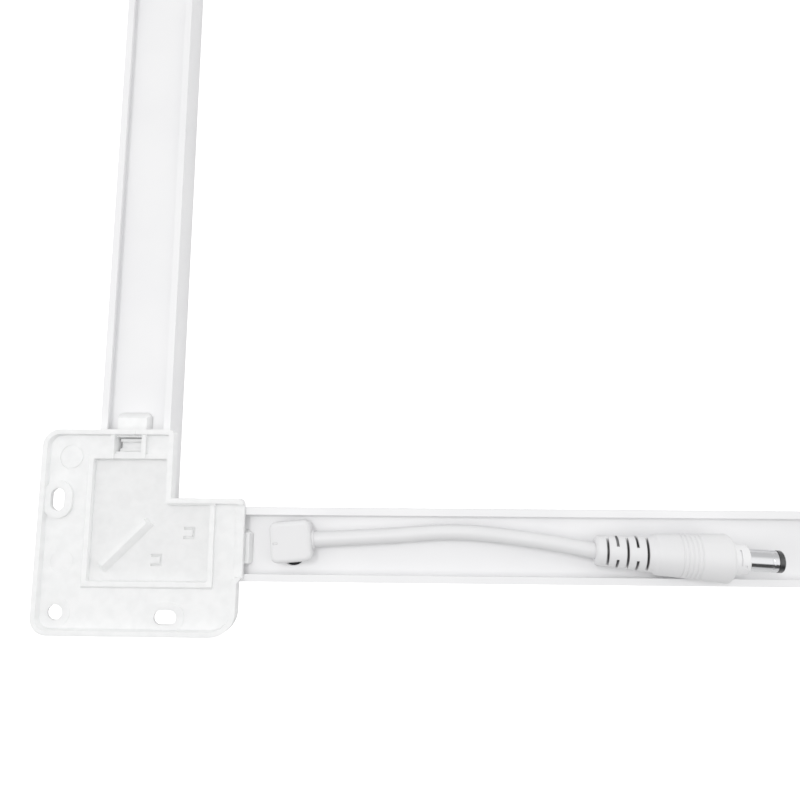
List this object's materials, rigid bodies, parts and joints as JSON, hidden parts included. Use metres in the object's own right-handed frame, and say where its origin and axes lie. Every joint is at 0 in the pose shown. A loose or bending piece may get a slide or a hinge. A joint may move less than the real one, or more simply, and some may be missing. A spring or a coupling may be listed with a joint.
{
  "type": "light box frame",
  "caption": "Slim rectangular LED light box frame with an open middle, clipped translucent corner brackets with screw ears and a short lead with a barrel plug.",
  "frame": {"origin": "middle of the frame on its front plane, where the light comes out", "axes": "+Z out of the back, +X along the long sides, +Y towards the long side away from the lead"},
  "size_m": [0.362, 0.275, 0.0194],
  "materials": {
    "channel": "white polyester powder coat on extruded aluminium, satin",
    "light_cover": "opal extruded polycarbonate, fine matt",
    "thermal_tape": "thin black double-sided acrylic foam tape",
    "led_board": "white solder mask on an aluminium-core board, with white LED packages",
    "corner_bracket": "translucent frosted polycarbonate, moulded",
    "corner_link": "white two-core flat PVC wire",
    "lead_plastic": "soft white PVC, satin",
    "spring_steel": "bright spring steel",
    "red_wire": "red PVC insulation",
    "black_wire": "black PVC insulation",
    "plug_nose": "hard white ABS",
    "plug_sleeve": "bright nickel plate",
    "plug_insulator": "black nylon",
    "plug_contact": "bare brass"
  },
  "bodies": {
    "root": {"channel_bottom": "channel", "light_cover_bottom": "light_cover", "thermal_tape_bottom": "thermal_tape", "led_board_bottom": "led_board", "channel_right": "channel", "light_cover_right": "light_cover", "thermal_tape_right": "thermal_tape", "led_board_right": "led_board", "channel_top": "channel", "light_cover_top": "light_cover", "thermal_tape_top": "thermal_tape", "led_board_top": "led_board", "channel_left": "channel", "light_cover_left": "light_cover", "thermal_tape_left": "thermal_tape", "led_board_left": "led_board", "corner_bracket_bottom_left": "corner_bracket", "corner_bracket_bottom_right": "corner_bracket", "corner_bracket_top_right": "corner_bracket", "corner_bracket_top_left": "corner_bracket", "corner_link_bottom_left": "corner_link", "corner_link_top_right": "corner_link", "corner_link_top_left": "corner_link", "lead_outlet": "lead_plastic", "outlet_push_ring": "spring_steel", "feed_wire_positive": "red_wire", "feed_wire_negative": "black_wire", "lead_cord": "lead_plastic", "plug_grip": "lead_plastic", "plug_nose": "plug_nose", "plug_sleeve": "plug_sleeve", "plug_insulator": "plug_insulator", "plug_contact": "plug_contact"}
  },
  "joints": []
}
